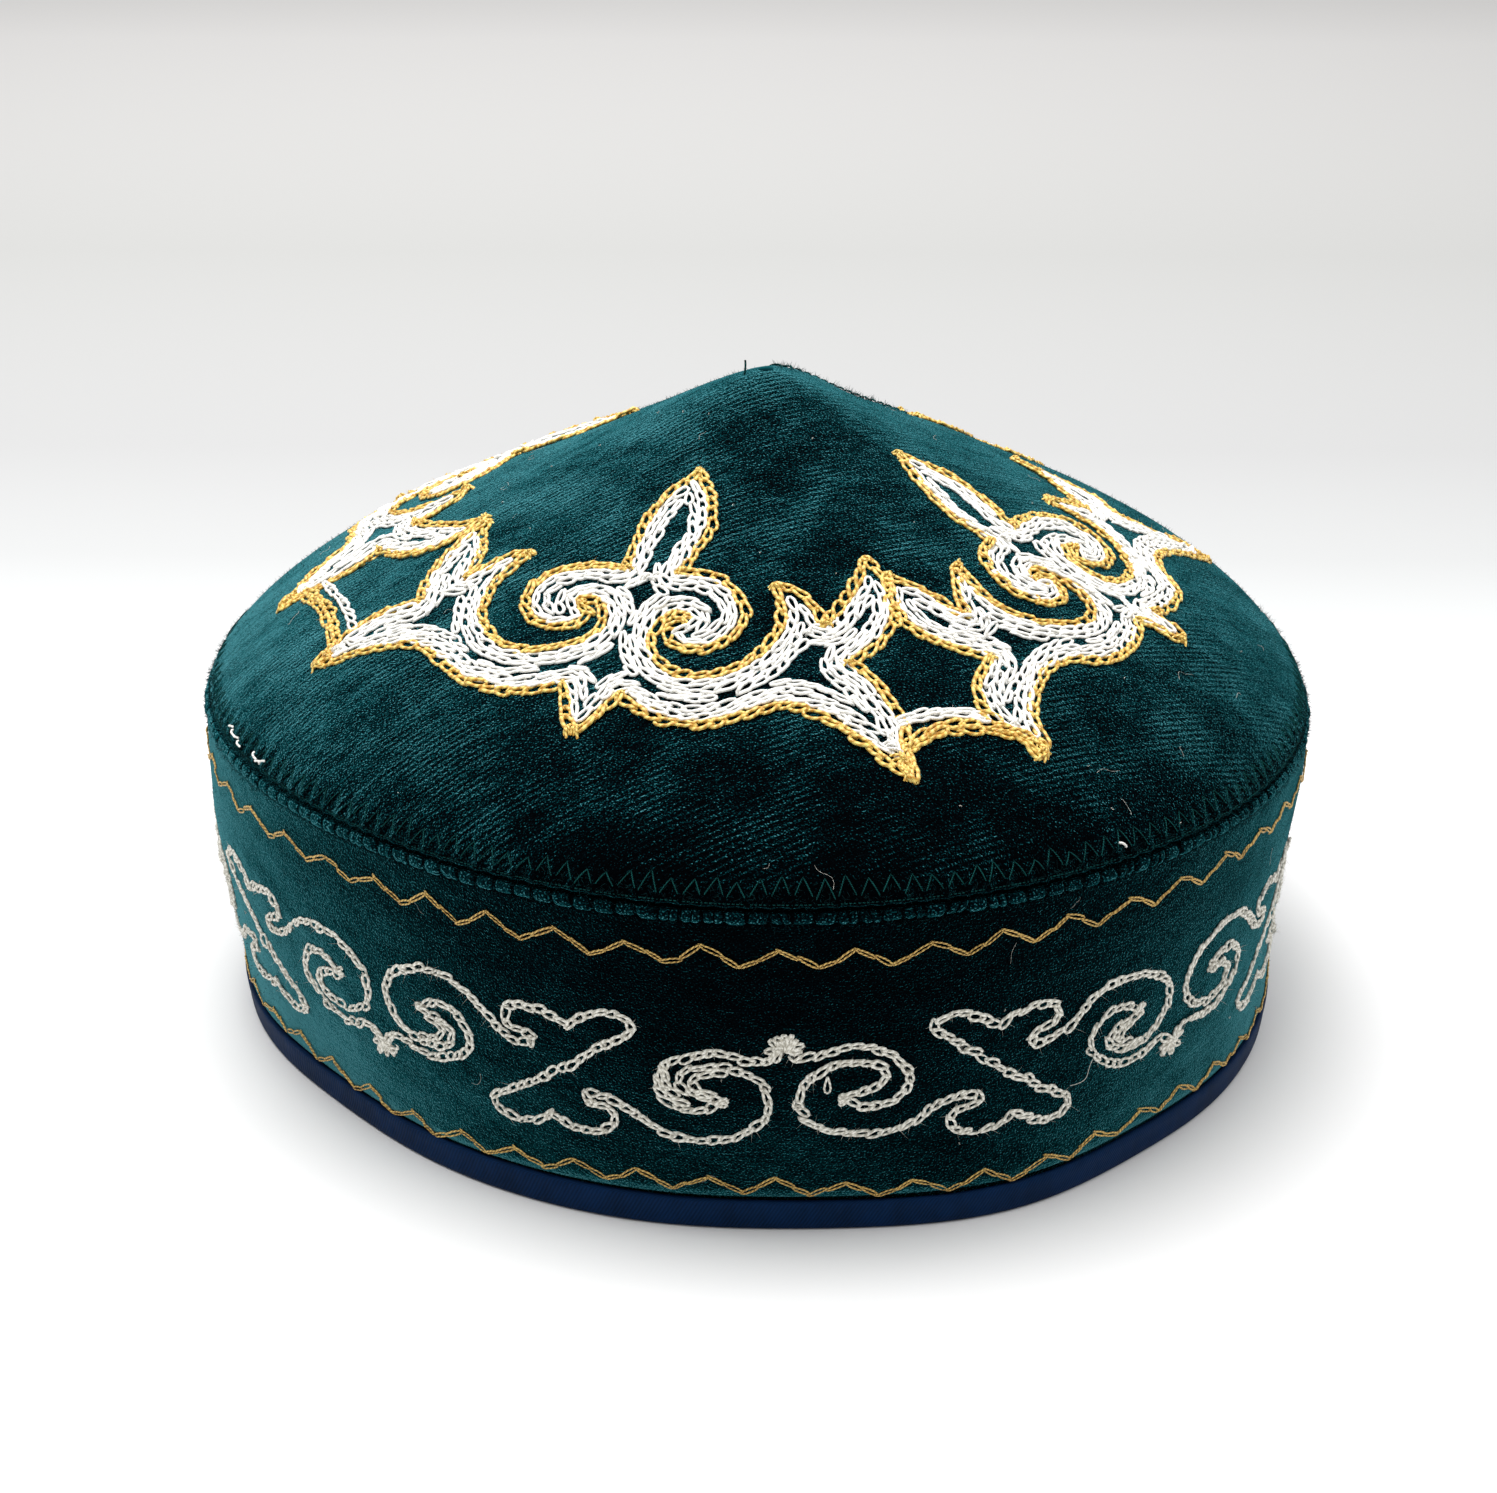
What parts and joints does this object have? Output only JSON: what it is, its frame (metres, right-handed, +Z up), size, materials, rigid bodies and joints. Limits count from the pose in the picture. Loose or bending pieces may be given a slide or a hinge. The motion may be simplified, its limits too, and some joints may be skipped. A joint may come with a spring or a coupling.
{
  "type": "tubeteika skullcap",
  "caption": "Peaked velvet skullcap: an eased cone crown on an upright oval band, with a tape binding round the open lower edge.",
  "frame": {"origin": "centre of the cap's bounding box, at the surface that the lower edge rests on", "axes": "+Z up through the crown's tip, +Y from front to back, +X across the cap"},
  "size_m": [0.1872, 0.2002, 0.1071],
  "materials": {
    "crown_velvet": "ribbed velvet with an embroidered ornament",
    "band_velvet": "velvet with an embroidered border",
    "binding_tape": "smooth woven tape",
    "gold_thread": "twisted embroidery thread",
    "white_thread": "glossy embroidery thread",
    "wool_thread": "fuzzy embroidery yarn",
    "sewing_thread": "fine sewing thread"
  },
  "bodies": {
    "root": {"crown": "crown_velvet", "band": "band_velvet", "hem_binding": "binding_tape"}
  },
  "joints": []
}
